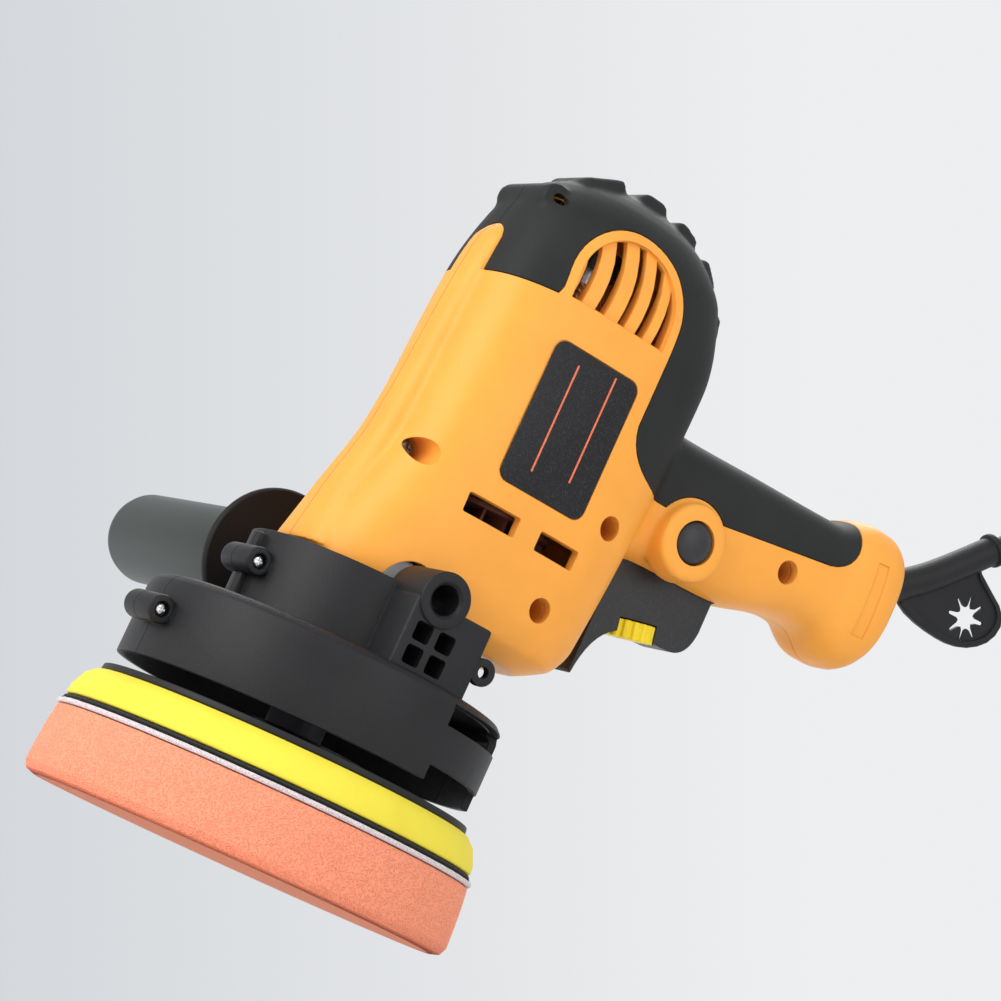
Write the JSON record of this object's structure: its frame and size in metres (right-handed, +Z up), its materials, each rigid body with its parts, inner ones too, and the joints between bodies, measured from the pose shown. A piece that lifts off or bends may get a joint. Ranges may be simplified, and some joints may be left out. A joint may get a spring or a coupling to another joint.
{
  "type": "rotary polisher",
  "caption": "Corded rotary polisher: upright motor body with a rear trigger grip, side handle, guard shroud, backing plate and foam pad.",
  "frame": {"origin": "centre of the foam pad's flat working face, on the spindle's axis", "axes": "+Z up the spindle from the pad to the motor, +X along the trigger grip towards the cord, +Y towards the side handle"},
  "size_m": [0.4288, 0.2587, 0.2675],
  "materials": {
    "pad_foam": "open-cell foam",
    "loop_fabric": "brushed loop",
    "hook_tape": "hook tape",
    "plate_foam": "moulded polyurethane foam",
    "plate_plastic": "glass-filled nylon",
    "steel": "ground",
    "gear_steel": "cut and greased",
    "laminated_steel": "stacked laminations",
    "copper": "enamelled wire",
    "brass": "pressed",
    "carbon": "pressed carbon",
    "fan_plastic": "moulded",
    "cast_aluminium": "as cast",
    "orange_plastic": "satin moulded",
    "black_plastic": "spark-textured nylon",
    "soft_rubber": "soft overmould",
    "label_film": "grained film",
    "handle_plastic": "fine matte",
    "flange_plastic": "matte",
    "trigger_plastic": "satin moulded",
    "dial_plastic": "satin moulded",
    "inner_plastic": "moulded",
    "circuit_board": "lacquered",
    "cord_rubber": "rubber sheath"
  },
  "bodies": {
    "housing": {"spindle_bearing_lower": "steel", "spindle_bearing_upper": "steel", "stator_core": "laminated_steel", "field_coil_front": "copper", "field_coil_rear": "copper", "brush_holder_front": "brass", "brush_holder_rear": "brass", "carbon_brush_front": "carbon", "carbon_brush_rear": "carbon", "brush_spring_front": "steel", "brush_spring_rear": "steel", "bearing_plate": "cast_aluminium", "motor_bearing_lower": "steel", "motor_bearing_upper": "steel", "head_housing_left": "black_plastic", "head_housing_right": "black_plastic", "clamp_screw_shroud": "steel", "clamp_screw_collar": "steel", "body_left": "orange_plastic", "body_right": "orange_plastic", "rubber_left": "soft_rubber", "rubber_right": "soft_rubber", "label_left": "label_film", "label_right": "label_film", "screw_front": "steel", "screw_lower": "steel", "screw_middle": "steel", "screw_upper": "steel", "screw_grip": "steel", "side_handle_flange": "flange_plastic", "side_handle_grip": "handle_plastic", "side_handle_stud": "steel", "lock_spring": "steel", "trigger_spring": "steel", "switch_body": "inner_plastic", "speed_board": "circuit_board", "cord_boot": "cord_rubber", "cord_clamp": "inner_plastic", "cord": "cord_rubber", "cord_coil": "cord_rubber", "plug_body": "cord_rubber", "plug_pin_a": "brass", "plug_pin_b": "brass"},
    "spindle_group": {"spindle": "steel", "drive_gear": "gear_steel", "plate_disc": "plate_plastic", "plate_foam": "plate_foam", "plate_hook_layer": "hook_tape", "pad_loop_layer": "loop_fabric", "foam_pad": "pad_foam"},
    "armature_group": {"armature_shaft": "steel", "armature_core": "laminated_steel", "winding_lower": "copper", "winding_upper": "copper", "commutator": "copper", "cooling_fan": "fan_plastic"},
    "trigger_group": {"trigger": "trigger_plastic"},
    "dial_group": {"speed_dial": "dial_plastic"},
    "lock_group": {"lock_button": "trigger_plastic"}
  },
  "joints": [
    {"name": "spindle_spin", "type": "hinge", "parent": "housing", "child": "spindle_group", "pos_m": [0, 0, 0.06], "axis": [0, 0, 1], "continuous": true},
    {"name": "armature_spin", "type": "hinge", "parent": "housing", "child": "armature_group", "pos_m": [0.02915, 0, 0.1], "axis": [0, 0, 1], "continuous": true},
    {"name": "trigger_squeeze", "type": "slide", "parent": "housing", "child": "trigger_group", "axis": [0, 0, 1], "range_m": [0, 0.006], "stiffness_N_per_m": 900, "springref_m": -0.006, "deforming": ["trigger_spring"]},
    {"name": "dial_turn", "type": "hinge", "parent": "trigger_group", "child": "dial_group", "pos_m": [0.1015, 0, 0.131], "axis": [-0.2079, 0, 0.9781], "range_deg": [-135, 135]},
    {"name": "lock_press", "type": "slide", "parent": "housing", "child": "lock_group", "axis": [0, 1, 0], "range_m": [0, 0.003], "stiffness_N_per_m": 600, "springref_m": -0.004}
  ],
  "couplings": [
    {"joint": "armature_spin", "follows": "spindle_spin", "ratio": -5.625}
  ]
}
